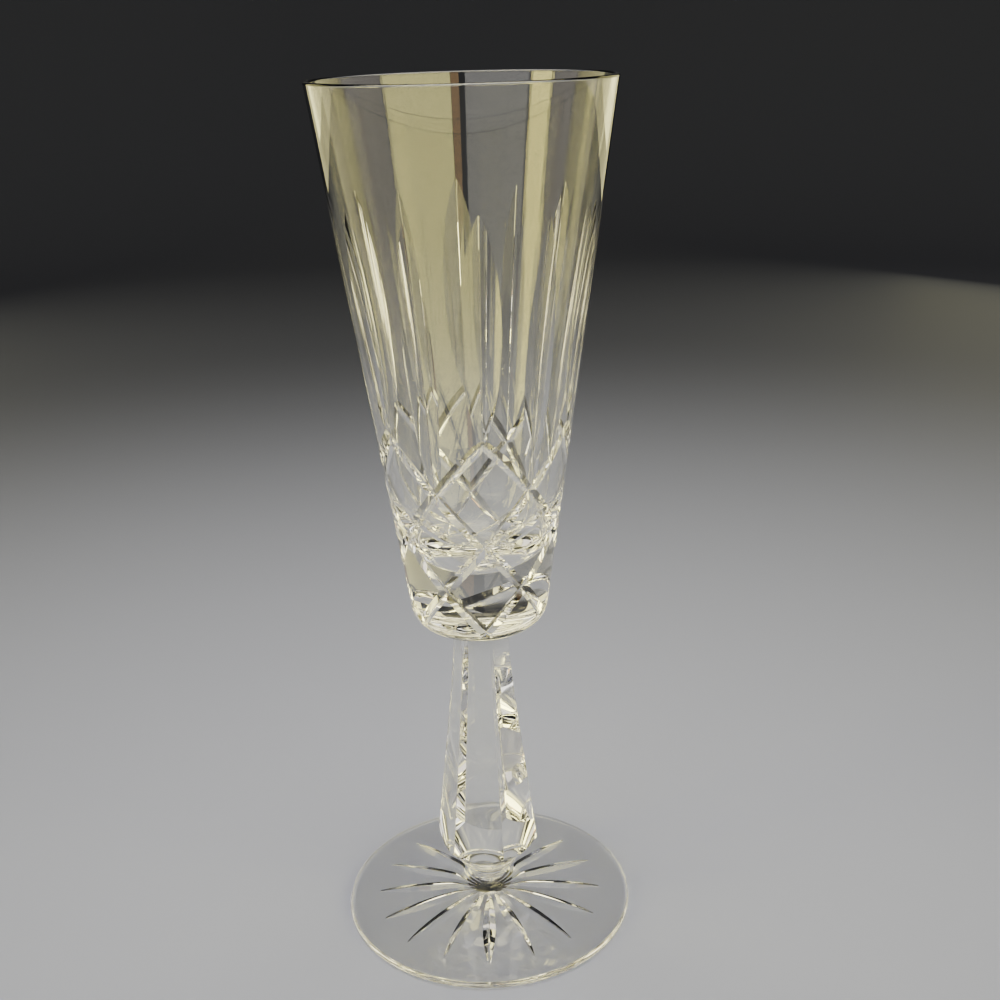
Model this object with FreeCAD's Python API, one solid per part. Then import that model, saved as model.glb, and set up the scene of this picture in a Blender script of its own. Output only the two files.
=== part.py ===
"""Cut-crystal champagne flute: a conical bowl, a six-sided stem, a joining collar and a round foot.

Millimetres, +Z up, the origin at the middle of the foot's resting plane.
Each gather of glass is its own solid, and neighbours meet on a flat round or six-sided joint face.
Angles round the glass are counted from -Y towards +X.
"""
import FreeCAD
import Part
import math
import os

# Whole glass
HEIGHT = 190.0
RIM_RADIUS = 30.7

# Bowl, outside: a plain cone that turns in at a rounded heel, then a shallow dish down to the stem
BOWL_TAPER = 0.1393         # growth of the radius for each millimetre of height
HEEL_Z = 79.6               # height of the heel arc's centre
HEEL_RADIUS = 5.7
HEEL_TURN = 82.0            # degrees from level to where the heel arc meets the dish
BASE_Z = 73.5
BASE_RADIUS = 7.6
LIP_ROUND = 0.5

# Bowl, inside: a cone with a bullet-shaped end, so the base is a thick block of glass
LIP_WALL = 1.3
CUT_ZONE_Z = 110.0
CUT_ZONE_WALL = 3.0
CAVITY_BOTTOM_Z = 89.0
CAVITY_ROUND_Z = 112.0      # centre height of the bullet's ellipse

# Cuts on the bowl: six leaf cuts and six slimmer ones between them, over a lattice of diagonal grooves
REPEAT = 6
WHEEL_RIM = 3.0             # depth of a grinding wheel's V-shaped rim
WHEEL_SWEEP = 1.5           # length of rim that is made, as a multiple of the cut's length
MAIN_LEAF = {"low": 121.0, "high": 167.5, "depth": 1.05, "half_angle": 80.0, "start": 0.0}
SIDE_LEAF = {"low": 108.0, "high": 166.5, "depth": 0.85, "half_angle": 79.0, "start": 30.0}
APEX_Z = 121.5              # where two grooves part below each main leaf
GROOVE_CLIMB = 50.5         # degrees between a groove and the level, on the cone's skin
GROOVE_SPAN = 134.0         # degrees round the glass from the apex to a groove's low end
GROOVE_STEPS = 18
GROOVE_CROWDING = 1.2       # above one, the cutter's sections crowd towards the apex, where the groove bends
GROOVE_DEPTH = 0.85
GROOVE_HALF_ANGLE = 55.0
GROOVE_STANDOFF = 1.2       # how far a groove cutter reaches out of the glass
GROOVE_OVERRUN = 3.0        # degrees that a groove runs on past its apex, while it fades out
GROOVE_FADE = 6.0           # degrees over which it fades
ARCH_EASE = 0.4             # share of its climb that a groove loses at the apex, so that pairs form arches
ARCH_REACH = 8.0            # degrees over which it gets it back

# Stem: six hollow-ground sides, wide near the foot, with a turned-in underside
STEM_TWIST = 13.0           # angle of one corner of the hexagon
STEM_LEVELS = ((17.5, 11.95), (25.0, 11.15), (37.0, 9.7), (49.0, 8.25), (61.0, 6.95), (68.0, 6.45))
STEM_TOP_RADIUS = 7.0
STEM_SHOULDER_RADIUS = 12.1
STEM_SHOULDER_Z = 17.9
STEM_BASE_Z = 12.5
STEM_BASE_RADIUS = 6.7

# Collar: a narrowing neck with a raised bead round its top, which joins the stem to the foot
BEAD_RADIUS = 7.05
BEAD_HALF = 0.55            # half the bead's height
NECK_RADIUS = 4.6
NECK_BASE_Z = 7.7

# Foot: a thin disc with a raised middle, flat underneath, and a sixteen-ray star cut into the flat
FOOT_RADIUS = 33.7
FOOT_EDGE = 1.8             # thickness at the rounded rim
FOOT_TAPER = 0.145          # rise of the top for each millimetre in from the rim
FLARE_REACH = 1.8           # how quickly the flare round the neck dies away
FLARE_STEPS = (0.0, 0.8, 1.7, 2.8, 4.2, 6.0, 8.5, 12.0, 17.0)   # distances out from the neck
RAY_COUNT = 16
RAY_TWIST = -6.0
RAY_INNER = 2.6
RAY_TIP = 27.4
RAY_DEPTH = 1.0
RAY_HALF_ANGLE = 56.0

AXIS = FreeCAD.Vector(0, 0, 1)
CENTRE = FreeCAD.Vector(0, 0, 0)


def vec(x, y, z):
    """A short name for a vector."""
    return FreeCAD.Vector(x, y, z)


def section(radius, height):
    """A point of a turned profile, in the XZ plane."""
    return vec(radius, 0, height)


def line(a, b):
    """A straight edge between two points."""
    return Part.LineSegment(a, b).toShape()


def arc(a, middle, b):
    """A round edge from a to b through middle."""
    return Part.Arc(a, middle, b).toShape()


def turned(edges):
    """The solid that a closed profile in the XZ plane makes when it is turned about Z."""
    face = Part.Face(Part.Wire(edges))
    return face.revolve(CENTRE, AXIS, 360)


def spun(shape, degrees):
    """A copy of the shape, turned about Z so that angles grow from -Y towards +X."""
    copy = shape.copy()
    copy.rotate(CENTRE, AXIS, degrees)
    return copy


def export(shape, node):
    """Checks one solid and writes it."""
    solids = shape.Solids
    print(f"{node:8s} valid {shape.isValid()} solids {len(solids)} volume {shape.Volume / 1000:.2f} cm3")
    solids[0].exportStep(f"parts/{node}.step")


def outer_radius(z):
    """Radius of the bowl's uncut cone."""
    return RIM_RADIUS - BOWL_TAPER * (HEIGHT - z)


def outer_edges():
    """The outside of the bowl, from the lip down to the middle of its base."""
    tilt = math.atan(BOWL_TAPER)
    heel_middle = outer_radius(HEEL_Z) - HEEL_RADIUS / math.cos(tilt)

    def heel(degrees):
        turn = math.radians(degrees)
        return section(heel_middle + HEEL_RADIUS * math.cos(turn), HEEL_Z - HEEL_RADIUS * math.sin(turn))

    top = section(RIM_RADIUS, HEIGHT - LIP_ROUND)
    start = heel(math.degrees(tilt))
    end = heel(HEEL_TURN)
    rim_of_base = section(BASE_RADIUS, BASE_Z)
    return [
        line(top, start),
        arc(start, heel((math.degrees(tilt) + HEEL_TURN) / 2), end),
        line(end, rim_of_base),
        line(rim_of_base, section(0, BASE_Z)),
    ]


def inner_cone():
    """Radius of the inside at the height of the bullet's centre, and its taper."""
    at_lip = RIM_RADIUS - LIP_WALL
    at_cuts = outer_radius(CUT_ZONE_Z) - CUT_ZONE_WALL
    taper = (at_lip - at_cuts) / (HEIGHT - CUT_ZONE_Z)
    return at_lip - taper * (HEIGHT - CAVITY_ROUND_Z), taper


def inner_edges():
    """The inside of the bowl, from the middle of the cavity's floor up to the lip."""
    radius, taper = inner_cone()
    reach = CAVITY_ROUND_Z - CAVITY_BOTTOM_Z
    half_width = math.sqrt(radius ** 2 - (taper * reach) ** 2)
    meet = section(half_width ** 2 / radius, CAVITY_ROUND_Z - taper * reach ** 2 / radius)
    centre = section(0, CAVITY_ROUND_Z)
    ellipse = Part.Ellipse(centre + vec(0, 0, reach), centre + vec(half_width, 0, 0), centre)
    floor = section(0, CAVITY_BOTTOM_Z)
    start, end = sorted((ellipse.parameter(floor), ellipse.parameter(meet)))
    lip = section(RIM_RADIUS - LIP_WALL, HEIGHT - LIP_ROUND)
    return [Part.ArcOfEllipse(ellipse, start, end).toShape(), line(meet, lip)]


def bowl_blank():
    """The blown bowl before cutting."""
    lip_in = section(RIM_RADIUS - LIP_WALL, HEIGHT - LIP_ROUND)
    lip_out = section(RIM_RADIUS, HEIGHT - LIP_ROUND)
    crown = section(RIM_RADIUS - LIP_WALL / 2, HEIGHT)
    core = line(section(0, BASE_Z), section(0, CAVITY_BOTTOM_Z))
    return turned(outer_edges() + [core] + inner_edges() + [arc(lip_in, crown, lip_out)])


def wheel(low, high, depth, half_angle):
    """A sharp-edged grinding wheel that leaves a leaf cut between two points in the XZ plane.

    Going from low to high, the wheel stands off to the right, seen from the -Y side.
    Depth is measured at right angles to the line between the points.
    """
    along = high - low
    rise = along.Length
    along.normalize()
    outward = vec(0, 1, 0).cross(along)
    radius = (rise ** 2 / 4 + depth ** 2) / (2 * depth)
    middle = (low + high) * 0.5 + outward * (radius - depth)
    inner = radius - WHEEL_RIM
    half_width = WHEEL_RIM * math.tan(math.radians(half_angle))
    side = vec(0, 1, 0)
    corners = [
        middle - outward * radius,
        middle - outward * inner + side * half_width,
        middle - outward * inner - side * half_width,
    ]
    face = Part.Face(Part.makePolygon(corners + corners[:1]))
    sweep = math.degrees(2 * math.asin(min(1.0, WHEEL_SWEEP * rise / (2 * radius))))
    face.rotate(middle, side, -sweep / 2)
    return face.revolve(middle, side, sweep)


def leaf_cutter(leaf):
    """The wheel for one upright leaf cut, on the +X side of the bowl."""
    low = section(outer_radius(leaf["low"]), leaf["low"])
    high = section(outer_radius(leaf["high"]), leaf["high"])
    return wheel(low, high, leaf["depth"], leaf["half_angle"])


def groove_point(turn, side):
    """Place on the bowl's cone, turn degrees on from the apex, and the frame of the groove there."""
    tilt = math.atan(BOWL_TAPER)
    climb = math.tan(math.radians(GROOVE_CLIMB))
    ease = ARCH_EASE * math.exp(-turn / ARCH_REACH)
    eased_turn = math.radians(turn - ARCH_REACH * (ARCH_EASE - ease))
    radius = outer_radius(APEX_Z) * math.exp(-math.sin(tilt) * climb * eased_turn)
    z = HEIGHT - (RIM_RADIUS - radius) / BOWL_TAPER
    angle = math.radians(turn) * side
    point = vec(radius * math.cos(angle), radius * math.sin(angle), z)
    outward = vec(math.cos(angle) * math.cos(tilt), math.sin(angle) * math.cos(tilt), -math.sin(tilt))
    round_about = vec(-math.sin(angle), math.cos(angle), 0) * side
    down = vec(-math.cos(angle) * math.sin(tilt), -math.sin(angle) * math.sin(tilt), -math.cos(tilt))
    along = round_about + down * (climb * (1 - ease))
    across = along.cross(outward)
    return point, outward, across.normalize()


def groove_cutter(side):
    """A V-shaped strip that follows one diagonal down the cone, starting on the +X side."""
    rings = []
    for step in range(GROOVE_STEPS + 1):
        share = (step / GROOVE_STEPS) ** GROOVE_CROWDING
        turn = -GROOVE_OVERRUN + (GROOVE_SPAN + GROOVE_OVERRUN) * share
        point, outward, across = groove_point(turn, side)
        fade = max(0.0, GROOVE_FADE - GROOVE_OVERRUN - turn) / GROOVE_FADE
        depth = GROOVE_DEPTH * (1 - fade ** 2)
        spread = (depth + GROOVE_STANDOFF) * math.tan(math.radians(GROOVE_HALF_ANGLE))
        root = point - outward * depth
        left = point + outward * GROOVE_STANDOFF + across * spread
        right = point + outward * GROOVE_STANDOFF - across * spread
        rings.append(Part.makePolygon([root, left, right, root]))
    return Part.makeLoft(rings, True, False)


def around(cutter, count, start):
    """Copies of a cutter made on the +X side, evenly spaced; the first is at start degrees from -Y."""
    return [spun(cutter, start - 90 + k * 360 / count) for k in range(count)]


def ground(glass, cutters):
    """The glass after each cutter has been at it, one at a time."""
    for cutter in cutters:
        glass = glass.cut(cutter)
    return glass


def bowl():
    """The blank with its leaf cuts and then its lattice of grooves."""
    cutters = []
    for leaf in (MAIN_LEAF, SIDE_LEAF):
        cutters += around(leaf_cutter(leaf), REPEAT, leaf["start"])
    for side in (1, -1):
        cutters += around(groove_cutter(side), REPEAT, 0.0)
    return ground(bowl_blank(), cutters)


def hexagon(radius, z):
    """One cross-section of the stem."""
    corners = []
    for k in range(7):
        angle = math.radians(STEM_TWIST - 90 + 60 * k)
        corners.append(vec(radius * math.cos(angle), radius * math.sin(angle), z))
    return Part.makePolygon(corners)


def stem():
    """The ground stem: a six-sided loft, with its underside turned in to a round joint face."""
    levels = ((STEM_BASE_Z, STEM_SHOULDER_RADIUS),) + STEM_LEVELS + ((BASE_Z, STEM_TOP_RADIUS),)
    column = Part.makeLoft([hexagon(radius, z) for z, radius in levels], True, False)
    envelope = turned([
        line(section(0, STEM_BASE_Z), section(STEM_BASE_RADIUS, STEM_BASE_Z)),
        line(section(STEM_BASE_RADIUS, STEM_BASE_Z), section(STEM_SHOULDER_RADIUS, STEM_SHOULDER_Z)),
        line(section(STEM_SHOULDER_RADIUS, STEM_SHOULDER_Z), section(STEM_SHOULDER_RADIUS, BASE_Z)),
        line(section(STEM_SHOULDER_RADIUS, BASE_Z), section(0, BASE_Z)),
        line(section(0, BASE_Z), section(0, STEM_BASE_Z)),
    ])
    return column.common(envelope)


def collar():
    """The joining neck: a bead under the stem, then a hollow curve that ends upright at the foot."""
    bead_low = STEM_BASE_Z - 2 * BEAD_HALF
    top_rim = section(STEM_BASE_RADIUS, STEM_BASE_Z)
    bead_middle = section(BEAD_RADIUS, STEM_BASE_Z - BEAD_HALF)
    bead_foot = section(STEM_BASE_RADIUS, bead_low)
    neck_foot = section(NECK_RADIUS, NECK_BASE_Z)
    widening = STEM_BASE_RADIUS - NECK_RADIUS
    rise = bead_low - NECK_BASE_Z
    hollow = (widening ** 2 + rise ** 2) / (2 * widening)
    half_turn = math.asin(rise / hollow) / 2
    hollow_centre = section(NECK_RADIUS + hollow, NECK_BASE_Z)
    hollow_middle = hollow_centre + vec(-hollow * math.cos(half_turn), 0, hollow * math.sin(half_turn))
    return turned([
        line(section(0, NECK_BASE_Z), neck_foot),
        arc(neck_foot, hollow_middle, bead_foot),
        arc(bead_foot, bead_middle, top_rim),
        line(top_rim, section(0, STEM_BASE_Z)),
        line(section(0, STEM_BASE_Z), section(0, NECK_BASE_Z)),
    ])


def foot_height(radius):
    """Height of the foot's top at a distance from the axis."""
    slope_length = FOOT_RADIUS - FOOT_EDGE / 2 - NECK_RADIUS
    flare = NECK_BASE_Z - FOOT_EDGE - FOOT_TAPER * slope_length
    out = radius - NECK_RADIUS
    return FOOT_EDGE + FOOT_TAPER * (slope_length - out) + flare * math.exp(-out / FLARE_REACH)


def foot_top():
    """The curve of the foot's top, from the neck out to the rim."""
    rim_radius = FOOT_RADIUS - FOOT_EDGE / 2
    places = [section(NECK_RADIUS + out, foot_height(NECK_RADIUS + out)) for out in FLARE_STEPS]
    places.append(section(rim_radius, FOOT_EDGE))
    curve = Part.BSplineCurve()
    curve.interpolate(places)
    return curve.toShape()


def foot():
    """The foot disc, less its star."""
    rim_radius = FOOT_RADIUS - FOOT_EDGE / 2
    rim_low = section(rim_radius, 0)
    blank = turned([
        foot_top(),
        arc(section(rim_radius, FOOT_EDGE), section(FOOT_RADIUS, FOOT_EDGE / 2), rim_low),
        line(rim_low, CENTRE),
        line(CENTRE, section(0, NECK_BASE_Z)),
        line(section(0, NECK_BASE_Z), section(NECK_RADIUS, NECK_BASE_Z)),
    ])
    return ground(blank, star_cutters())


def star_cutters():
    """Sixteen wheels under the foot, each leaving one ray of the star."""
    ray = wheel(section(RAY_INNER, 0), section(RAY_TIP, 0), RAY_DEPTH, RAY_HALF_ANGLE)
    return around(ray, RAY_COUNT, RAY_TWIST)


def main():
    os.makedirs("parts", exist_ok=True)
    export(bowl(), "bowl")
    export(stem(), "stem")
    export(collar(), "collar")
    export(foot(), "foot")


main()
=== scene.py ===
"""The looks of the cut-crystal champagne flute: clear glass, rebuilt finely enough to refract well.

Shapes are worked out in millimetres in the part's own frame and scaled to metres when a mesh is made.
Angles round the glass are counted in degrees from -Y towards +X.
"""
import math

import bpy
import numpy as np
from mathutils import Matrix, Vector

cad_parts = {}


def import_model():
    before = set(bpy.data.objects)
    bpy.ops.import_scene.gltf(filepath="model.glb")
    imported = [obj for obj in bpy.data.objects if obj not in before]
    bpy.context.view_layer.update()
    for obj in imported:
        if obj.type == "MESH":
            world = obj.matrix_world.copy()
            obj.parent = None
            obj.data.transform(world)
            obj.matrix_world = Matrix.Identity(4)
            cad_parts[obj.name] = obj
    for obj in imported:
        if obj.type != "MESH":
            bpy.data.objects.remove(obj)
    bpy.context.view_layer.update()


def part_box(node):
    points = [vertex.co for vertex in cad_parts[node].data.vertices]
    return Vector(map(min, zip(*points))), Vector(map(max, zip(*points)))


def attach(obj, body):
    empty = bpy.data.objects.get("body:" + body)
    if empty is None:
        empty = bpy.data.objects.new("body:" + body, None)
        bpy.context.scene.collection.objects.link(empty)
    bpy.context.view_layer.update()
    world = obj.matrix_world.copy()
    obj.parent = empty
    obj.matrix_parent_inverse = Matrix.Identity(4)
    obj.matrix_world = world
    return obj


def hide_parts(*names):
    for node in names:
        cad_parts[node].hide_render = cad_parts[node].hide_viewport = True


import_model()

MM = 0.001

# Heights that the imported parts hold
BOWL_LOW, BOWL_HIGH = (np.array(corner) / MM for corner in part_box("bowl"))
COLLAR_LOW, COLLAR_HIGH = (np.array(corner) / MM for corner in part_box("collar"))
HEIGHT = BOWL_HIGH[2]
BASE_Z = BOWL_LOW[2]
STEM_BASE_Z = COLLAR_HIGH[2]
NECK_BASE_Z = COLLAR_LOW[2]

# Bowl: a plain cone outside, with a rounded heel; a cone with a bullet-shaped end inside
RIM_RADIUS = 30.7
TAPER = 0.1393              # growth of the radius for each millimetre of height
TILT = math.atan(TAPER)
HEEL_Z = 79.6               # height of the heel arc's centre
HEEL_RADIUS = 5.7
HEEL_TURN = 82.0            # degrees from level to where the heel arc meets the dish under it
BASE_RADIUS = 7.6
LIP_ROUND = 0.5
LIP_WALL = 1.3
CUT_ZONE_Z = 110.0
CUT_ZONE_WALL = 3.0
CAVITY_BOTTOM_Z = 89.0
CAVITY_ROUND_Z = 112.0      # centre height of the bullet's ellipse

# Cuts on the bowl
REPEAT = 6
MAIN_LEAF = {"low": 121.0, "high": 167.5, "depth": 1.05, "half_angle": 80.0, "start": 0.0}
SIDE_LEAF = {"low": 108.0, "high": 166.5, "depth": 0.85, "half_angle": 79.0, "start": 30.0}
CUTS_TOP_Z = 168.5          # just above the highest cut
APEX_Z = 121.5              # where two grooves part below each main leaf
GROOVE_CLIMB = 50.5         # degrees between a groove and the level, on the cone's skin
GROOVE_SPAN = 134.0         # degrees round the glass from the apex to a groove's low end
GROOVE_REACH = 3            # repeats of the pattern over which a groove can run in from either side
GROOVE_DEPTH = 0.85
GROOVE_HALF_ANGLE = 55.0
GROOVE_OVERRUN = 3.0        # degrees that a groove runs on past its apex, while it fades out
GROOVE_FADE = 6.0           # degrees over which it fades
ARCH_EASE = 0.4             # share of its climb that a groove loses at the apex, so that pairs form arches
ARCH_REACH = 8.0            # degrees over which it gets it back
LEAF_LIMIT = 40.0           # degrees from a leaf's middle, past which its wheel is surely clear of the glass
FLANK_LIMIT = 3.0           # millimetres from a groove's root, past which its flank needn't bend any more
NO_CUT = -9.0               # depth that stands for a cut that isn't there

# Stem: height and corner radius of its levels
STEM_TWIST = 13.0           # angle of one corner of the hexagon
STEM_LEVELS = ((STEM_BASE_Z, 12.1), (17.5, 11.95), (25.0, 11.15), (37.0, 9.7), (49.0, 8.25), (61.0, 6.95),
               (68.0, 6.45), (BASE_Z, 7.0))
STEM_BASE_RADIUS = 6.7
APOTHEM = math.cos(math.radians(30))    # a hexagon's inner radius over its corner radius
EDGE_ROUND = 0.7            # degrees either side of a corner that its fine rounding takes

# Collar: a bead over a neck that narrows in a hollow curve
BEAD_RADIUS = 7.05
BEAD_HALF = 0.55            # half the bead's height
NECK_RADIUS = 4.6

# Foot: a thin disc with a raised middle, flat underneath, with a star cut into the flat
FOOT_RADIUS = 33.7
FOOT_EDGE = 1.8             # thickness at the rounded rim
FOOT_TAPER = 0.145          # rise of the top for each millimetre in from the rim
FLARE_REACH = 1.8           # how quickly the flare round the neck dies away
RAY_COUNT = 16
RAY_TWIST = -6.0
RAY_INNER = 2.6
RAY_TIP = 27.4
RAY_DEPTH = 1.0
RAY_HALF_ANGLE = 56.0
STAR_EDGE = RAY_TIP + 0.3   # radius of the patch that holds the star

# Fineness of the meshes
COLUMN_STEP = 1.0           # degrees between points round the bowl
ROW_STEP = 0.55             # between points up its cut cone
HEEL_ROWS = 18
PLAIN_ROWS = 5              # on the uncut cone under the lip
LIP_ROWS = 15
WALL_ROWS = 12              # down the straight stretch of the inside
BULLET_ROWS = 26            # down its rounded end
STEM_COLUMNS = 24           # points across each side of the stem
STEM_ROWS = 56              # up its sides
CONE_ROWS = 7               # up its coned underside
CONE_GUESS_Z = 17.0         # where the search for the edge between the cone and the sides starts
CONE_ROUNDS = 30            # steps in that search
COLLAR_STEP = 2.0           # degrees between points round the collar
NECK_ROWS = 14
BEAD_ROWS = 13
RAY_COLUMNS = 22            # steps across each ray's share of the star
STAR_OUTER_ROWS = (STAR_EDGE, 3.0, -0.32)   # radii: from, to and step
STAR_INNER_ROWS = (2.9, 0.9, -0.2)
RESTING_ROWS = 6            # on the flat ring outside the star
EDGE_ROWS = 17              # round the foot's rounded rim
TOP_ROWS = 44               # on the foot's top
TOP_CROWDING = 1.6          # how much closer they lie near the neck
CROSSING_ROUNDS = 14        # halvings in the search for the edge between two cuts
MEETING_ROUNDS = 4          # steps in the search for the point where three cuts meet

# Crystal
CRYSTAL_TINT = (0.988, 0.985, 0.95, 1)
CRYSTAL_IOR = 1.54
WAVE_HEIGHT = 0.00002       # metres, the faint unevenness of hand work
WAVE_SCALE = 45.0

# Paper floor and backdrop, in metres
PAINTED_POOL_TONE = 0.41           # painted pool of light: tone of the floor under the glass
PAINTED_SHADE_TONE = 0.12           # painted shade: tone of the far floor and the backdrop
PAPER_TINT = (0.85, 0.915, 1.47, 1)     # evens out the warmth of the lamps
PAPER_ROUGHNESS = 0.75
PAPER_SHEEN = 0.15
PAINTED_FALLOFF_REACH = 0.60           # from the axis to where the painted falloff reaches its darkest
FLOOR_GAP = 0.0001          # under the foot, so that the two flat faces don't coincide
COVE_RINGS = (0.3, 0.6)      # on its level middle
COVE_START = 0.9            # from the axis to where it starts to rise
COVE_BEND = 0.6             # radius of the bend
COVE_ROWS = 19              # up the bend
COVE_HEIGHT = 2.2
COVE_SIDES = 96

# Lights, in metres
ROOM_TONE = (0.03, 0.03, 0.032, 1)
TOP_BOX_PLACE = (0.0, 0.05, 0.60)
TOP_BOX_SIZE = 0.5
TOP_BOX_POWER = 2.6
TOP_BOX_COLOUR = (1, 0.93, 0.64)
PANEL_REACH = 0.85          # from the axis to the standing panels
PANEL_LOW = 0.02
PANEL_HIGH = 0.62
# Standing panels: the angles that each one spans, its brightness and its colour
PANELS = {
    "window": (5.0, 64.0, 4.8, (1.0, 0.93, 0.44)),
    "window_edge": (-2.0, 4.6, 1.6, (1.0, 0.64, 0.30)),
    "pale_wall": (-7.0, -62.0, 1.7, (0.95, 0.93, 0.90)),
    "lamp": (-64.0, -84.0, 7.0, (1.0, 0.91, 0.38)),
    "left_wall": (-85.0, -111.0, 1.2, (1.0, 0.93, 0.84)),
    "right_wall": (65.0, 107.0, 1.2, (1.0, 0.93, 0.84)),
    "left_back": (-112.0, -153.0, 1.5, (1.0, 0.93, 0.48)),
    "right_back": (108.0, 151.0, 1.5, (1.0, 0.93, 0.48)),
}

# Camera: millimetres and degrees
CAMERA_AROUND = -4.5        # round the glass from -Y
CAMERA_DISTANCE = 263.7
CAMERA_HEIGHT = 200.0
CAMERA_PITCH = 20.32
CAMERA_YAW = 1.12
CAMERA_ROLL = -1.59
CAMERA_LENS = 46.66
CAMERA_NEAR = 0.01          # metres


class Skin:
    """A mesh being built: points, faces, the normal at each face corner and each face's material."""

    def __init__(self):
        self.points = []
        self.faces = []
        self.normals = []
        self.slots = []

    def point(self, place):
        """Adds a point and gives its number."""
        self.points.append(place)
        return len(self.points) - 1

    def face(self, corners, normals, slot=0):
        """Adds a face; corners run anticlockwise seen from outside."""
        self.faces.append(corners)
        self.normals.append(normals)
        self.slots.append(slot)

    def strip(self, low, high, low_normals, high_normals, slot=0):
        """Joins two closed rings of equal length, each with its own normals."""
        count = len(low)
        for i in range(count):
            k = (i + 1) % count
            corners = [low[i], low[k], high[k], high[i]]
            self.face(corners, [low_normals[i], low_normals[k], high_normals[k], high_normals[i]], slot)

    def fan(self, ring, centre, ring_normals, centre_normal, slot=0):
        """Closes a ring onto one middle point."""
        count = len(ring)
        for i in range(count):
            k = (i + 1) % count
            self.face([ring[i], ring[k], centre], [ring_normals[i], ring_normals[k], centre_normal], slot)

    def build(self, name, materials):
        """Makes the Blender object."""
        mesh = bpy.data.meshes.new(name)
        mesh.from_pydata([tuple(np.asarray(p) * MM) for p in self.points], [], self.faces)
        for material in materials:
            mesh.materials.append(material)
        mesh.polygons.foreach_set("material_index", self.slots)
        mesh.polygons.foreach_set("use_smooth", [True] * len(self.faces))
        corner_normals = np.array([n for normals in self.normals for n in normals], dtype=np.float32)
        mesh.normals_split_custom_set(corner_normals)
        mesh.update()
        piece = bpy.data.objects.new(name, mesh)
        bpy.context.scene.collection.objects.link(piece)
        return piece


def unit(vectors):
    """The vectors at length one."""
    vectors = np.asarray(vectors, float)
    return vectors / np.linalg.norm(vectors, axis=-1, keepdims=True)


def around(degrees):
    """Level unit vectors at these angles from -Y towards +X."""
    angle = np.radians(degrees)
    return np.stack([np.sin(angle), -np.cos(angle), np.zeros_like(angle)], axis=-1)


def ring_places(degrees, radius, z):
    """Points at these angles, at one radius (or one each) and one height (or one each)."""
    places = around(degrees) * np.reshape(radius, (-1, 1))
    places[:, 2] = z
    return places


def ring_normals(degrees, outward, upward):
    """Normals at these angles with the given level and upright shares."""
    normals = around(degrees) * outward
    normals[:, 2] = upward
    return unit(normals)


def turned(skin, degrees, profile, first=None):
    """Turns a profile of (radius, height, outward, upward) round the axis, from one ring to the next.

    The first ring may already exist. Gives the last ring.
    """
    ring = first
    last = None
    for radius, z, outward, upward in profile:
        normals = ring_normals(degrees, outward, upward)
        if ring is None or last is not None:
            new_ring = [skin.point(p) for p in ring_places(degrees, radius, z)]
        else:
            new_ring = ring
        if last is not None:
            skin.strip(ring, new_ring, last, normals)
        ring, last = new_ring, normals
    return ring


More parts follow.
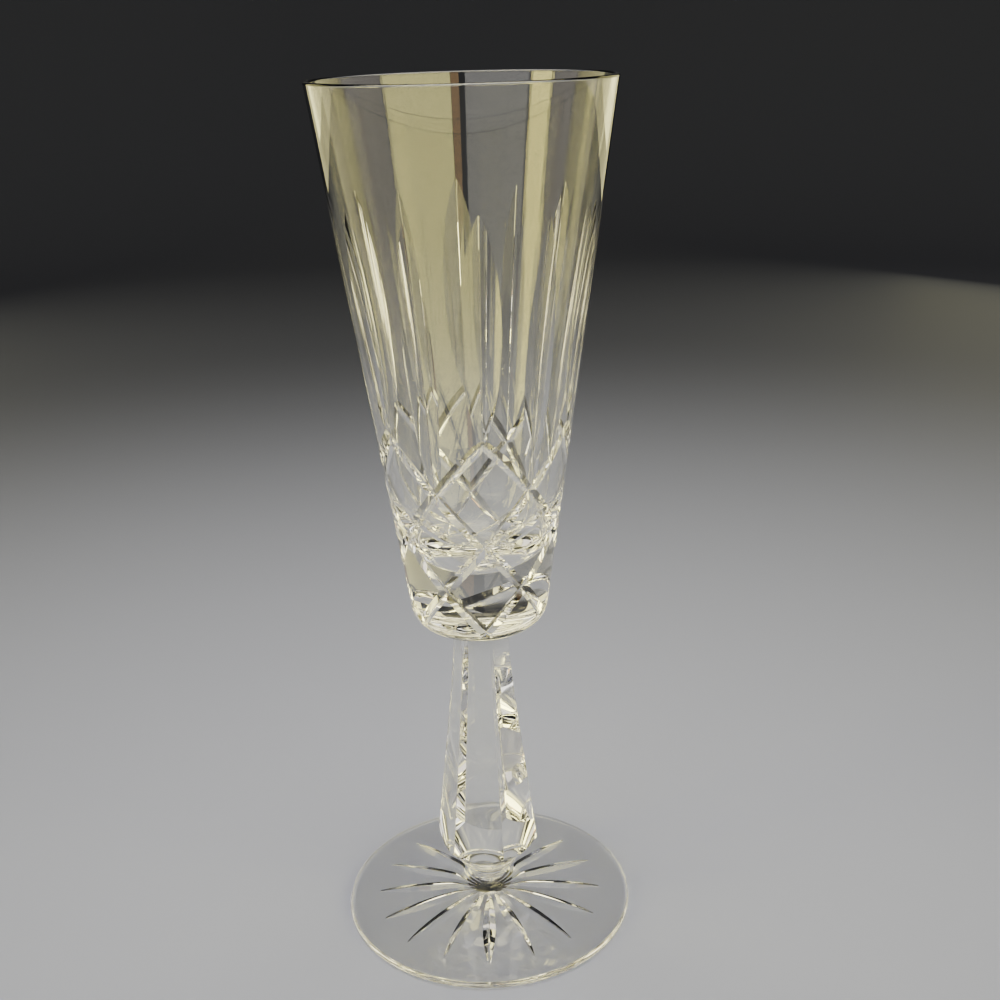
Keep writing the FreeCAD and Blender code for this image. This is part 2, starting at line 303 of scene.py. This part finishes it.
class Patch:
    """A stretch of surface over two coordinates, whose shape is the deepest of several cuts at each place.

    depths(u, v) gives one row for each cut, and place(u, v, depth) gives points.
    The grid is split where one cut gives way to the next, so that every edge is sharp.
    """

    KEEP_OFF = 0.04         # how near to a grid corner an edge may cross, as a share of the cell
    STEP = 1e-3

    def __init__(self, columns, rows, repeats, depths, place, flip):
        self.columns = np.asarray(columns, float)
        self.rows = np.asarray(rows, float)
        self.repeats = repeats
        self.depths = depths
        self.place = place
        self.flip = flip
        self.numbers = {}

    def label(self, u, v):
        """Which cut is deepest at each place."""
        return np.argmax(self.depths(u, v), axis=0)

    def at(self, u, v, label):
        """Points on the given cuts."""
        depth = self.depths(u, v)[label, np.arange(len(u))]
        return self.place(u, v, depth)

    def normal(self, u, v, label):
        """Normals of the given cuts."""
        along_u = self.at(u + self.STEP, v, label) - self.at(u - self.STEP, v, label)
        along_v = self.at(u, v + self.STEP, label) - self.at(u, v - self.STEP, label)
        return unit(np.cross(along_u, along_v) * (-1 if self.flip else 1))

    def crossing(self, ua, va, ub, vb):
        """How far along each line, from a to b, the label of a ends."""
        start = self.label(ua, va)
        low = np.zeros_like(ua)
        high = np.ones_like(ua)
        for _ in range(CROSSING_ROUNDS):
            middle = (low + high) / 2
            same = self.label(ua + (ub - ua) * middle, va + (vb - va) * middle) == start
            low = np.where(same, middle, low)
            high = np.where(same, high, middle)
        share = np.clip((low + high) / 2, self.KEEP_OFF, 1 - self.KEEP_OFF)
        return ua + (ub - ua) * share, va + (vb - va) * share

    def meeting(self, u, v, labels):
        """The place near (u, v) where three cuts are equally deep."""
        labels = sorted(set(labels))
        centre = np.array([u, v])
        if len(labels) < 3:
            return centre
        step = self.STEP
        for _ in range(MEETING_ROUNDS):
            here = self.depths(centre[:1], centre[1:])[labels, 0]
            by_u = self.depths(centre[:1] + step, centre[1:])[labels, 0]
            by_v = self.depths(centre[:1], centre[1:] + step)[labels, 0]
            slopes = np.stack([(by_u - here) / step, (by_v - here) / step], axis=1)
            gap = here[1:] - here[0]
            move = np.linalg.lstsq(slopes[1:] - slopes[0], -gap, rcond=None)[0]
            centre = centre + move
        return centre

    def add_to(self, skin):
        """Builds the patch all the way round. Gives its first and last rings of point numbers."""
        cols, rows = self.columns, self.rows
        nu, nv = len(cols) - 1, len(rows)
        grid_u, grid_v = (g.ravel() for g in np.meshgrid(cols, rows, indexing="ij"))
        labels = self.label(grid_u, grid_v).reshape(nu + 1, nv)
        places = {}

        def cross_edges(kind, a, b):
            index_a, index_b = np.array(a), np.array(b)
            differ = labels[tuple(index_a.T)] != labels[tuple(index_b.T)]
            index_a, index_b = index_a[differ], index_b[differ]
            if len(index_a) == 0:
                return
            start = cols[index_a[:, 0]], rows[index_a[:, 1]]
            end = cols[index_b[:, 0]], rows[index_b[:, 1]]
            u, v = self.crossing(*start, *end)
            for (i, j), uu, vv in zip(index_a, u, v):
                places[(kind, i, j)] = (uu, vv)

        level = [(i, j) for i in range(nu) for j in range(nv)]
        upright = [(i, j) for i in range(nu + 1) for j in range(nv - 1)]
        cross_edges("u", level, [(i + 1, j) for i, j in level])
        cross_edges("v", upright, [(i, j + 1) for i, j in upright])
        for i in range(nu + 1):
            for j in range(nv):
                places[("g", i, j)] = (cols[i], rows[j])
        polygons = []
        for i in range(nu):
            for j in range(nv - 1):
                polygons += self.cell(i, j, labels, places)
        self.emit(skin, polygons, places, nu)
        first = [self.numbers[("g", i, 0)] for i in range(nu * self.repeats)]
        last = [self.numbers[("g", i, nv - 1)] for i in range(nu * self.repeats)]
        return first, last

    def cell(self, i, j, labels, places):
        """The polygons of one grid cell, each with its label."""
        corners = [("g", i, j), ("g", i + 1, j), ("g", i + 1, j + 1), ("g", i, j + 1)]
        edges = [("u", i, j), ("v", i + 1, j), ("u", i, j + 1), ("v", i, j)]
        own = [int(labels[c[1], c[2]]) for c in corners]
        changes = [k for k in range(4) if own[k] != own[(k + 1) % 4]]
        if not changes:
            return [(corners, own[0])]
        centre = None
        if len(changes) > 2:
            centre = ("c", i, j)
            cuts = [places[edges[k]] for k in changes]
            u, v = np.mean(cuts, axis=0)
            spot = self.meeting(u, v, own)
            low_u, high_u = self.columns[i], self.columns[i + 1]
            low_v, high_v = self.rows[j], self.rows[j + 1]
            inside = low_u < spot[0] < high_u and low_v < spot[1] < high_v
            places[centre] = tuple(spot) if inside else (u, v)
        polygons = []
        for n, k in enumerate(changes):
            following = changes[(n + 1) % len(changes)]
            ring = [edges[k]]
            step = (k + 1) % 4
            while True:
                ring.append(corners[step])
                if step == following:
                    break
                step = (step + 1) % 4
            ring.append(edges[following])
            if centre:
                ring.append(centre)
            polygons.append((ring, own[(k + 1) % 4]))
        return polygons

    def emit(self, skin, polygons, places, nu):
        """Places every point and face, once for each repeat of the pattern."""
        keys = sorted(places)
        u = np.array([places[k][0] for k in keys])
        v = np.array([places[k][1] for k in keys])
        spots = dict(zip(keys, self.at(u, v, self.label(u, v))))
        flat = [(key, label) for ring, label in polygons for key in ring]
        u = np.array([places[key][0] for key, _ in flat])
        v = np.array([places[key][1] for key, _ in flat])
        corner_normals = self.normal(u, v, np.array([label for _, label in flat]))
        total = nu * self.repeats
        for repeat in range(self.repeats):
            turn = np.array(Matrix.Rotation(2 * math.pi * repeat / self.repeats, 3, "Z"))
            turned_normals = corner_normals @ turn.T
            at = 0
            for ring, _ in polygons:
                numbers = []
                for kind, i, j in ring:
                    key = (kind, (i + repeat * nu) % total, j)
                    if key not in self.numbers:
                        self.numbers[key] = skin.point(turn @ spots[(kind, i, j)])
                    numbers.append(self.numbers[key])
                normals = list(turned_normals[at:at + len(ring)])
                at += len(ring)
                if self.flip:
                    numbers.reverse()
                    normals.reverse()
                skin.face(numbers, normals)


def outer_radius(z):
    """Radius of the bowl's uncut cone."""
    return RIM_RADIUS - TAPER * (HEIGHT - z)


HEEL_MIDDLE = outer_radius(HEEL_Z) - HEEL_RADIUS / math.cos(TILT)
HEEL_LENGTH = HEEL_RADIUS * (math.radians(HEEL_TURN) - TILT)
HEEL_TOP_Z = HEEL_Z - HEEL_RADIUS * math.sin(TILT)


def bowl_outline(s):
    """Radius and height of the uncut bowl, a distance s along its outline above the heel's low end."""
    turn = math.radians(HEEL_TURN) - np.minimum(s, HEEL_LENGTH) / HEEL_RADIUS
    beyond = np.maximum(s - HEEL_LENGTH, 0.0)
    radius = HEEL_MIDDLE + HEEL_RADIUS * np.cos(turn) + beyond * math.sin(TILT)
    z = HEEL_Z - HEEL_RADIUS * np.sin(turn) + beyond * math.cos(TILT)
    return radius, z


def leaf_radius(leaf, degrees, z):
    """How far out glass is left by the wheel of a leaf cut, at an angle from the cut's middle."""
    low = np.array([outer_radius(leaf["low"]), leaf["low"]])
    high = np.array([outer_radius(leaf["high"]), leaf["high"]])
    rise = np.linalg.norm(high - low)
    along = (high - low) / rise
    wheel_radius = (rise ** 2 / 4 + leaf["depth"] ** 2) / (2 * leaf["depth"])
    centre = (low + high) / 2 + np.array([along[1], -along[0]]) * (wheel_radius - leaf["depth"])
    slope = 1 / math.tan(math.radians(leaf["half_angle"]))
    angle = np.radians(np.minimum(np.abs(degrees), LEAF_LIMIT))
    cosine, sine = np.cos(angle), np.sin(angle)
    a = cosine ** 2 - (sine * slope) ** 2
    b = 2 * wheel_radius * sine * slope - 2 * cosine * centre[0]
    c = centre[0] ** 2 + (z - centre[1]) ** 2 - wheel_radius ** 2
    return (-b - np.sqrt(np.maximum(b ** 2 - 4 * a * c, 0.0))) / (2 * a)


def groove_depth(degrees, radius):
    """Depth of a groove's flanks on the cone, for a groove that runs from 0 degrees to greater angles.

    Gives the depth as if both flanks went on for ever, one array for each flank.
    """
    ease = ARCH_EASE * np.exp(-degrees / ARCH_REACH)
    eased_turn = np.radians(degrees - ARCH_REACH * (ARCH_EASE - ease))
    climb = math.tan(math.radians(GROOVE_CLIMB))
    level_gap = np.log(radius / outer_radius(APEX_Z)) / math.sin(TILT) + climb * eased_turn
    local_climb = np.arctan(climb * (1 - ease))
    gap = radius * level_gap * np.cos(local_climb)
    fade = np.clip((GROOVE_FADE - GROOVE_OVERRUN - degrees) / GROOVE_FADE, 0.0, None)
    depth = GROOVE_DEPTH * (1 - fade ** 2)
    bend = np.sin(local_climb) ** 2 * math.cos(TILT) / radius
    slope = 1 / math.tan(math.radians(GROOVE_HALF_ANGLE))
    sag = bend * np.minimum(gap ** 2, FLANK_LIMIT ** 2) / 2
    return depth - gap * slope - sag, depth + gap * slope - sag


def bowl_depths(u, v):
    """Depth of every cut below the uncut bowl, measured level, for one sixth of the pattern about u = 0."""
    radius, z = bowl_outline(v)
    layers = [np.zeros_like(u)]
    for leaf in (MAIN_LEAF, SIDE_LEAF):
        for repeat in range(-1, 2):
            off = u - leaf["start"] - 360 / REPEAT * repeat
            depth = radius - leaf_radius(leaf, off, z)
            near = np.abs(off) < 360 / REPEAT / 2
            layers.append(np.where(near & (off <= 0), depth, NO_CUT))
            layers.append(np.where(near & (off > 0), depth, NO_CUT))
    cone = outer_radius(z)
    for side in (1, -1):
        for repeat in range(-GROOVE_REACH, GROOVE_REACH + 1):
            run = (u - 360 / REPEAT * repeat) * side
            alive = (run > -GROOVE_OVERRUN) & (run < GROOVE_SPAN)
            for flank in groove_flanks(run, cone):
                depth = radius - cone + flank / math.cos(TILT)
                layers.append(np.where(alive, depth, NO_CUT))
    return np.array(layers)


def groove_flanks(run, cone):
    """The two flanks of one groove, each kept only on its own side of the groove's root."""
    low, high = groove_depth(run, cone)
    return np.where(low <= high, low, NO_CUT), np.where(low <= high, NO_CUT, high)


def bowl_place(u, v, depth):
    """Points of the bowl's outside."""
    radius, z = bowl_outline(v)
    return ring_places(u, radius - depth, z)


def bowl(glass, joint):
    """The bowl: base, heel and cut cone, lip, and the smooth inside."""
    skin = Skin()
    edge = -180 / REPEAT - COLUMN_STEP / 2
    columns = np.arange(edge, -edge, COLUMN_STEP)
    cone_length = (CUTS_TOP_Z - HEEL_TOP_Z) / math.cos(TILT)
    heel_rows = np.linspace(0, HEEL_LENGTH, HEEL_ROWS)
    cone_rows = HEEL_LENGTH + np.linspace(0, cone_length, int(cone_length / ROW_STEP))[1:]
    patch = Patch(columns, np.concatenate([heel_rows, cone_rows]), REPEAT, bowl_depths, bowl_place, False)
    low_ring, high_ring = patch.add_to(skin)
    degrees = np.arange(0, 360, COLUMN_STEP) + edge
    wall = (math.cos(TILT), -math.sin(TILT))
    rise = np.linspace(CUTS_TOP_Z, HEIGHT - LIP_ROUND, PLAIN_ROWS)
    above = [(outer_radius(z), z) + wall for z in rise]
    above += [lip_point(t) for t in np.linspace(0, 180, LIP_ROWS)]
    above += inside_profile()
    ring = turned(skin, degrees, above, high_ring)
    floor_normal = (0, 0, 1)
    tip = skin.point((0, 0, CAVITY_BOTTOM_Z))
    radius, z, outward, upward = above[-1]
    skin.fan(ring, tip, ring_normals(degrees, outward, upward), floor_normal)
    bowl_base(skin, degrees, low_ring, joint)
    return skin.build("crystal_bowl", [glass, joint])


def lip_point(t):
    """A place on the rounded lip, t degrees over from the outside."""
    turn = math.radians(t)
    middle = RIM_RADIUS - LIP_WALL / 2
    radius = middle + LIP_WALL / 2 * math.cos(turn)
    z = HEIGHT - LIP_ROUND + LIP_ROUND * math.sin(turn)
    return radius, z, math.cos(turn) / LIP_WALL * 2, math.sin(turn) / LIP_ROUND


def inside_profile():
    """The smooth inside, from the lip down to just short of the axis."""
    at_lip = RIM_RADIUS - LIP_WALL
    at_cuts = outer_radius(CUT_ZONE_Z) - CUT_ZONE_WALL
    taper = (at_lip - at_cuts) / (HEIGHT - CUT_ZONE_Z)
    reach = CAVITY_ROUND_Z - CAVITY_BOTTOM_Z
    at_round = at_lip - taper * (HEIGHT - CAVITY_ROUND_Z)
    half_width = math.sqrt(at_round ** 2 - (taper * reach) ** 2)
    meet_z = CAVITY_ROUND_Z - taper * reach ** 2 / at_round
    points = []
    for z in np.linspace(HEIGHT - LIP_ROUND, meet_z, WALL_ROWS):
        points.append((at_lip - taper * (HEIGHT - z), z, -1.0, taper))
    start = math.asin((CAVITY_ROUND_Z - meet_z) / reach)
    for t in np.linspace(start, math.pi / 2, BULLET_ROWS)[1:-1]:
        radius = half_width * math.cos(t)
        z = CAVITY_ROUND_Z - reach * math.sin(t)
        points.append((radius, z, -math.cos(t) / half_width, math.sin(t) / reach))
    return points


def bowl_base(skin, degrees, low_ring, joint):
    """The shallow dish under the heel, its flat rim, and the six-sided joint face."""
    end_radius, end_z = bowl_outline(0.0)
    normals = ring_normals(degrees, end_z - BASE_Z, BASE_RADIUS - end_radius)
    dish_ring = [skin.point(p) for p in ring_places(degrees, BASE_RADIUS, BASE_Z)]
    skin.strip(dish_ring, low_ring, normals, normals)
    down = np.tile([0.0, 0.0, -1.0], (len(degrees), 1))
    joint_radius = hexagon_radius(degrees, stem_radius(BASE_Z))
    joint_ring = [skin.point(p) for p in ring_places(degrees, joint_radius, BASE_Z)]
    skin.strip(joint_ring, dish_ring, down, down)
    middle = skin.point((0, 0, BASE_Z))
    skin.fan(joint_ring[::-1], middle, down, down[0], 1)


def stem_radius(z):
    """Radius of the stem's corners at a height, along a smooth curve through its levels."""
    heights, radii = (np.array(column) for column in zip(*STEM_LEVELS))
    slopes = np.gradient(radii, heights)
    z = np.clip(z, heights[0], heights[-1])
    k = np.clip(np.searchsorted(heights, z) - 1, 0, len(heights) - 2)
    span = heights[k + 1] - heights[k]
    t = (z - heights[k]) / span
    return ((2 * t ** 3 - 3 * t ** 2 + 1) * radii[k] + (t ** 3 - 2 * t ** 2 + t) * span * slopes[k]
            + (3 * t ** 2 - 2 * t ** 3) * radii[k + 1] + (t ** 3 - t ** 2) * span * slopes[k + 1])


def hexagon_radius(degrees, corner_radius):
    """Radius of a hexagon's outline at these angles."""
    off = (np.asarray(degrees) - STEM_TWIST) % 60 - 30
    return corner_radius * APOTHEM / np.cos(np.radians(off))


def stem(glass, joint):
    """The six-sided stem, with fine rounding along its corners and a coned underside."""
    skin = Skin()
    offsets = np.linspace(-30 + EDGE_ROUND, 30 - EDGE_ROUND, STEM_COLUMNS)
    degrees = np.concatenate([STEM_TWIST + 30 + 60 * side + offsets for side in range(6)])
    middles = np.repeat(STEM_TWIST + 30 + 60 * np.arange(6), STEM_COLUMNS)
    widen = 1 / np.cos(np.radians(degrees - middles))
    low_z = np.full(len(degrees), CONE_GUESS_Z)
    for _ in range(CONE_ROUNDS):
        low_z = STEM_BASE_Z - STEM_BASE_RADIUS + stem_radius(low_z) * APOTHEM * widen
    cone_rings = []
    for t in np.linspace(0, 1, CONE_ROWS):
        rise = (low_z - STEM_BASE_Z) * t
        places = ring_places(degrees, STEM_BASE_RADIUS + rise, STEM_BASE_Z + rise)
        cone_rings.append([skin.point(p) for p in places])
    cone_normals = ring_normals(degrees, 1.0, -1.0)
    for low, high in zip(cone_rings, cone_rings[1:]):
        skin.strip(low, high, cone_normals, cone_normals)
    ring = cone_rings[-1]
    z = low_z
    slope = stem_slope(z) * APOTHEM
    normals = side_normals(middles, slope)
    for t in np.linspace(0, 1, STEM_ROWS)[1:]:
        new_z = low_z + (BASE_Z - low_z) * t
        places = ring_places(degrees, stem_radius(new_z) * APOTHEM * widen, new_z)
        new_ring = [skin.point(p) for p in places]
        new_normals = side_normals(middles, stem_slope(new_z) * APOTHEM)
        skin.strip(ring, new_ring, normals, new_normals)
        ring, normals = new_ring, new_normals
    top = skin.point((0, 0, BASE_Z))
    up = np.tile([0.0, 0.0, 1.0], (len(degrees), 1))
    skin.fan(ring, top, up, up[0], 1)
    bottom = skin.point((0, 0, STEM_BASE_Z))
    skin.fan(cone_rings[0][::-1], bottom, -up, -up[0], 1)
    return skin.build("crystal_stem", [glass, joint])


def stem_slope(z):
    """How fast the stem's corner radius grows with height."""
    step = 0.01
    z = np.clip(z, STEM_LEVELS[0][0] + step, STEM_LEVELS[-1][0] - step)
    return (stem_radius(z + step) - stem_radius(z - step)) / (2 * step)


def side_normals(middles, slope):
    """Normals of the stem's flat sides."""
    normals = around(middles)
    normals[:, 2] = -slope
    return unit(normals)


def collar(glass, joint):
    """The bead under the stem, and the hollow neck that narrows down to the foot."""
    skin = Skin()
    degrees = np.arange(0, 360, COLLAR_STEP)
    bead_low = STEM_BASE_Z - 2 * BEAD_HALF
    widening = STEM_BASE_RADIUS - NECK_RADIUS
    rise = bead_low - NECK_BASE_Z
    hollow = (widening ** 2 + rise ** 2) / (2 * widening)
    profile = []
    for turn in np.linspace(0, math.asin(rise / hollow), NECK_ROWS):
        level, upright = math.cos(turn), -math.sin(turn)
        profile.append((NECK_RADIUS + hollow * (1 - level), NECK_BASE_Z - hollow * upright, level, upright))
    first = [skin.point(p) for p in ring_places(degrees, NECK_RADIUS, NECK_BASE_Z)]
    ring = turned(skin, degrees, profile, first)
    bulge = BEAD_RADIUS - STEM_BASE_RADIUS
    profile = []
    for t in np.linspace(-1, 1, BEAD_ROWS):
        radius = STEM_BASE_RADIUS + bulge * (1 - t ** 2)
        profile.append((radius, bead_low + BEAD_HALF * (1 + t), 1.0, 2 * bulge * t / BEAD_HALF))
    last = turned(skin, degrees, profile, ring)
    up = np.tile([0.0, 0.0, 1.0], (len(degrees), 1))
    skin.fan(last, skin.point((0, 0, STEM_BASE_Z)), up, up[0], 1)
    skin.fan(first[::-1], skin.point((0, 0, NECK_BASE_Z)), -up, -up[0], 1)
    return skin.build("crystal_collar", [glass, joint])


def foot_height(radius):
    """Height of the foot's top."""
    edge_radius = FOOT_RADIUS - FOOT_EDGE / 2
    at_neck = FOOT_EDGE + FOOT_TAPER * (edge_radius - NECK_RADIUS)
    flare = (NECK_BASE_Z - at_neck) * np.exp(-(radius - NECK_RADIUS) / FLARE_REACH)
    return FOOT_EDGE + FOOT_TAPER * (edge_radius - radius) + flare


def ray_depths(u, v):
    """Height of the star's rays above the flat underside, about one ray; v is minus the radius."""
    radius = -v
    layers = [np.zeros_like(u)]
    rise = RAY_TIP - RAY_INNER
    wheel_radius = (rise ** 2 / 4 + RAY_DEPTH ** 2) / (2 * RAY_DEPTH)
    middle = (RAY_TIP + RAY_INNER) / 2
    slope = 1 / math.tan(math.radians(RAY_HALF_ANGLE))
    for repeat in range(-1, 2):
        off = np.radians(u - 360 / RAY_COUNT * repeat)
        across = radius * np.sin(off)
        along = radius * np.cos(off) - middle
        reach = wheel_radius - np.abs(across) * slope
        depth = RAY_DEPTH - wheel_radius + np.sqrt(np.maximum(reach ** 2 - along ** 2, 0.0))
        layers.append(np.where(off <= 0, depth, NO_CUT))
        layers.append(np.where(off > 0, depth, NO_CUT))
    return np.array(layers)


def ray_place(u, v, depth):
    """Points of the foot's underside."""
    return ring_places(u + RAY_TWIST, -v, depth)


def foot(glass, joint):
    """The foot: flared top, rounded edge, and the flat underside with its star."""
    skin = Skin()
    spacing = 360 / RAY_COUNT
    columns = (np.arange(RAY_COLUMNS + 1) + 0.5) * spacing / RAY_COLUMNS - spacing / 2
    rows = -np.concatenate([np.arange(*STAR_OUTER_ROWS), np.arange(*STAR_INNER_ROWS)])
    patch = Patch(columns, rows, RAY_COUNT, ray_depths, ray_place, True)
    outer_ring, inner_ring = patch.add_to(skin)
    count = RAY_COLUMNS * RAY_COUNT
    degrees = RAY_TWIST + columns[0] + np.arange(count) * 360 / count
    down = np.tile([0.0, 0.0, -1.0], (count, 1))
    skin.fan(inner_ring[::-1], skin.point((0, 0, 0)), down, down[0])
    half = FOOT_EDGE / 2
    edge_radius = FOOT_RADIUS - half
    profile = [(radius, 0.0, 0.0, -1.0) for radius in np.linspace(STAR_EDGE, edge_radius, RESTING_ROWS)]
    ring = turned(skin, degrees, profile, outer_ring)
    profile = []
    for t in np.linspace(-90, 90, EDGE_ROWS):
        turn = math.radians(t)
        level, upright = math.cos(turn), math.sin(turn)
        profile.append((edge_radius + half * level, half + half * upright, level, upright))
    ring = turned(skin, degrees, profile, ring)
    profile = []
    step = 0.01
    for t in np.linspace(1, 0, TOP_ROWS):
        radius = NECK_RADIUS + (edge_radius - NECK_RADIUS) * t ** TOP_CROWDING
        tilt = (foot_height(radius + step) - foot_height(radius - step)) / (2 * step)
        profile.append((radius, foot_height(radius), -tilt, 1.0))
    ring = turned(skin, degrees, profile, ring)
    up = -down
    skin.fan(ring, skin.point((0, 0, NECK_BASE_Z)), up, up[0], 1)
    return skin.build("crystal_foot", [glass, joint])


def node(tree, kind, **inputs):
    """Adds a shader node and sets its input values."""
    new = tree.nodes.new(kind)
    for name, value in inputs.items():
        new.inputs[name.replace("_", " ")].default_value = value
    return new


def crystal(name):
    """Clear lead crystal with the faint waviness of hand work."""
    material = bpy.data.materials.new(name)
    material.use_nodes = True
    tree = material.node_tree
    shader = tree.nodes["Principled BSDF"]
    shader.inputs["Base Color"].default_value = CRYSTAL_TINT
    shader.inputs["Transmission Weight"].default_value = 1.0
    shader.inputs["IOR"].default_value = CRYSTAL_IOR
    shader.inputs["Roughness"].default_value = 0.0
    place = node(tree, "ShaderNodeTexCoord")
    noise = node(tree, "ShaderNodeTexNoise", Scale=WAVE_SCALE, Detail=1.0)
    bump = node(tree, "ShaderNodeBump", Strength=1.0, Distance=WAVE_HEIGHT)
    tree.links.new(place.outputs["Object"], noise.inputs["Vector"])
    tree.links.new(noise.outputs["Fac"], bump.inputs["Height"])
    tree.links.new(bump.outputs["Normal"], shader.inputs["Normal"])
    return material


def joint_material():
    """Where two gathers of glass are fused, light passes as if nothing were there."""
    material = bpy.data.materials.new("fused_joint")
    material.use_nodes = True
    tree = material.node_tree
    tree.nodes.remove(tree.nodes["Principled BSDF"])
    clear = node(tree, "ShaderNodeBsdfTransparent")
    tree.links.new(clear.outputs["BSDF"], tree.nodes["Material Output"].inputs["Surface"])
    return material


def paper_with_painted_light():
    """Matt paper with a painted pool of light: pale under the glass, darkening outwards into painted shade
    at the backdrop.
    """
    material = bpy.data.materials.new("paper_painted_pool_and_shade")
    material.use_nodes = True
    tree = material.node_tree
    shader = tree.nodes["Principled BSDF"]
    shader.inputs["Roughness"].default_value = PAPER_ROUGHNESS
    shader.inputs["Specular IOR Level"].default_value = PAPER_SHEEN
    place = node(tree, "ShaderNodeTexCoord")
    reach = node(tree, "ShaderNodeVectorMath")
    reach.operation = "LENGTH"
    # Painted light falloff: the tone runs from the painted pool under the glass to painted shade on the far
    # floor and backdrop.
    share = node(tree, "ShaderNodeMapRange", From_Min=0.0, From_Max=PAINTED_FALLOFF_REACH,
                 To_Min=PAINTED_POOL_TONE, To_Max=PAINTED_SHADE_TONE)
    share.interpolation_type = "SMOOTHSTEP"
    tree.links.new(place.outputs["Object"], reach.inputs[0])
    tree.links.new(reach.outputs["Value"], share.inputs["Value"])
    tint = node(tree, "ShaderNodeMixRGB", Fac=1.0, Color2=PAPER_TINT)
    tint.blend_type = "MULTIPLY"
    tree.links.new(share.outputs["Result"], tint.inputs["Color1"])
    tree.links.new(tint.outputs["Color"], shader.inputs["Base Color"])
    return material


def cove():
    """A round floor that curves up into a backdrop on every side."""
    profile = [(radius, 0.0) for radius in (0.0,) + COVE_RINGS]
    for t in np.linspace(0, 90, COVE_ROWS):
        turn = math.radians(t)
        profile.append((COVE_START + COVE_BEND * math.sin(turn), COVE_BEND * (1 - math.cos(turn))))
    profile.append((COVE_START + COVE_BEND, COVE_HEIGHT))
    points = [(0.0, 0.0, -FLOOR_GAP)]
    for radius, z in profile[1:]:
        for place in around(np.arange(COVE_SIDES) * 360 / COVE_SIDES) * radius:
            points.append((place[0], place[1], z - FLOOR_GAP))
    faces = [(0, 1 + k, 1 + (k + 1) % COVE_SIDES) for k in range(COVE_SIDES)]
    for ring in range(len(profile) - 2):
        low, high = 1 + ring * COVE_SIDES, 1 + (ring + 1) * COVE_SIDES
        for k in range(COVE_SIDES):
            n = (k + 1) % COVE_SIDES
            faces.append((low + k, high + k, high + n, low + n))
    mesh = bpy.data.meshes.new("cove")
    mesh.from_pydata(points, [], faces)
    mesh.polygons.foreach_set("use_smooth", [True] * len(faces))
    # The paper carries a painted pool of light under the glass and painted shade towards the backdrop.
    mesh.materials.append(paper_with_painted_light())
    paper = bpy.data.objects.new("cove", mesh)
    bpy.context.scene.collection.objects.link(paper)


def softbox(name, place, target, size, power, colour):
    """A rectangular soft light that faces a target."""
    light = bpy.data.lights.new(name, "AREA")
    light.shape = "RECTANGLE"
    light.size, light.size_y = size
    light.energy = power
    light.color = colour
    lamp = bpy.data.objects.new(name, light)
    lamp.location = place
    lamp.rotation_euler = (Vector(target) - Vector(place)).to_track_quat("-Z", "Y").to_euler()
    lamp.visible_camera = False
    bpy.context.scene.collection.objects.link(lamp)


def panels():
    """Soft panels that stand round the glass, with dark gaps between them."""
    middle_z = (PANEL_LOW + PANEL_HIGH) / 2
    for name, (start, end, brightness, colour) in PANELS.items():
        half = math.radians(abs(end - start) / 2)
        middle = around((start + end) / 2) * PANEL_REACH * math.cos(half)
        width = 2 * PANEL_REACH * math.sin(half)
        height = PANEL_HIGH - PANEL_LOW
        power = brightness * math.pi * width * height
        softbox(name, (middle[0], middle[1], middle_z), (0, 0, middle_z), (width, height), power, colour)


def world():
    """The dark room round the studio table."""
    room = bpy.data.worlds.new("room")
    room.use_nodes = True
    room.node_tree.nodes["Background"].inputs["Color"].default_value = ROOM_TONE
    bpy.context.scene.world = room


def lights():
    """A low soft box over the glass, and the standing panels."""
    size = (TOP_BOX_SIZE, TOP_BOX_SIZE)
    softbox("top_box", TOP_BOX_PLACE, (0, 0, 0), size, TOP_BOX_POWER, TOP_BOX_COLOUR)
    panels()


def camera():
    """The camera, at the height, distance and tilt that give the intended view."""
    data = bpy.data.cameras.new("camera")
    data.lens = CAMERA_LENS
    data.clip_start = CAMERA_NEAR
    pitch, yaw, roll = (math.radians(a) for a in (CAMERA_PITCH, CAMERA_YAW, CAMERA_ROLL))
    forward = Vector((math.sin(yaw) * math.cos(pitch), math.cos(yaw) * math.cos(pitch), -math.sin(pitch)))
    level = forward.cross(Vector((0, 0, 1))).normalized()
    upright = level.cross(forward)
    right = level * math.cos(roll) + upright * math.sin(roll)
    up = upright * math.cos(roll) - level * math.sin(roll)
    facing = Matrix((right, up, -forward)).transposed().to_4x4()
    place = Matrix.Translation(Vector((0, -CAMERA_DISTANCE, CAMERA_HEIGHT)) * MM)
    shot = bpy.data.objects.new("camera", data)
    shot.matrix_world = Matrix.Rotation(math.radians(CAMERA_AROUND), 4, "Z") @ place @ facing
    bpy.context.scene.collection.objects.link(shot)
    bpy.context.scene.camera = shot


def glassware():
    """The four visible pieces, each standing for its CAD node."""
    joint = joint_material()
    makers = {"bowl": bowl, "stem": stem, "collar": collar, "foot": foot}
    for name, maker in makers.items():
        piece = maker(crystal(f"{name}_crystal"), joint)
        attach(piece, "root")
        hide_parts(name)


def render_depth():
    """Lets light pass through every layer of glass, and reach the floor through it undimmed."""
    cycles = bpy.context.scene.cycles
    cycles.max_bounces = 24
    cycles.transmission_bounces = 24
    cycles.glossy_bounces = 12
    cycles.transparent_max_bounces = 16
    cycles.blur_glossy = 0.0
    bpy.context.scene.view_settings.look = "AgX - Medium High Contrast"


camera()
world()
lights()
cove()
glassware()
render_depth()
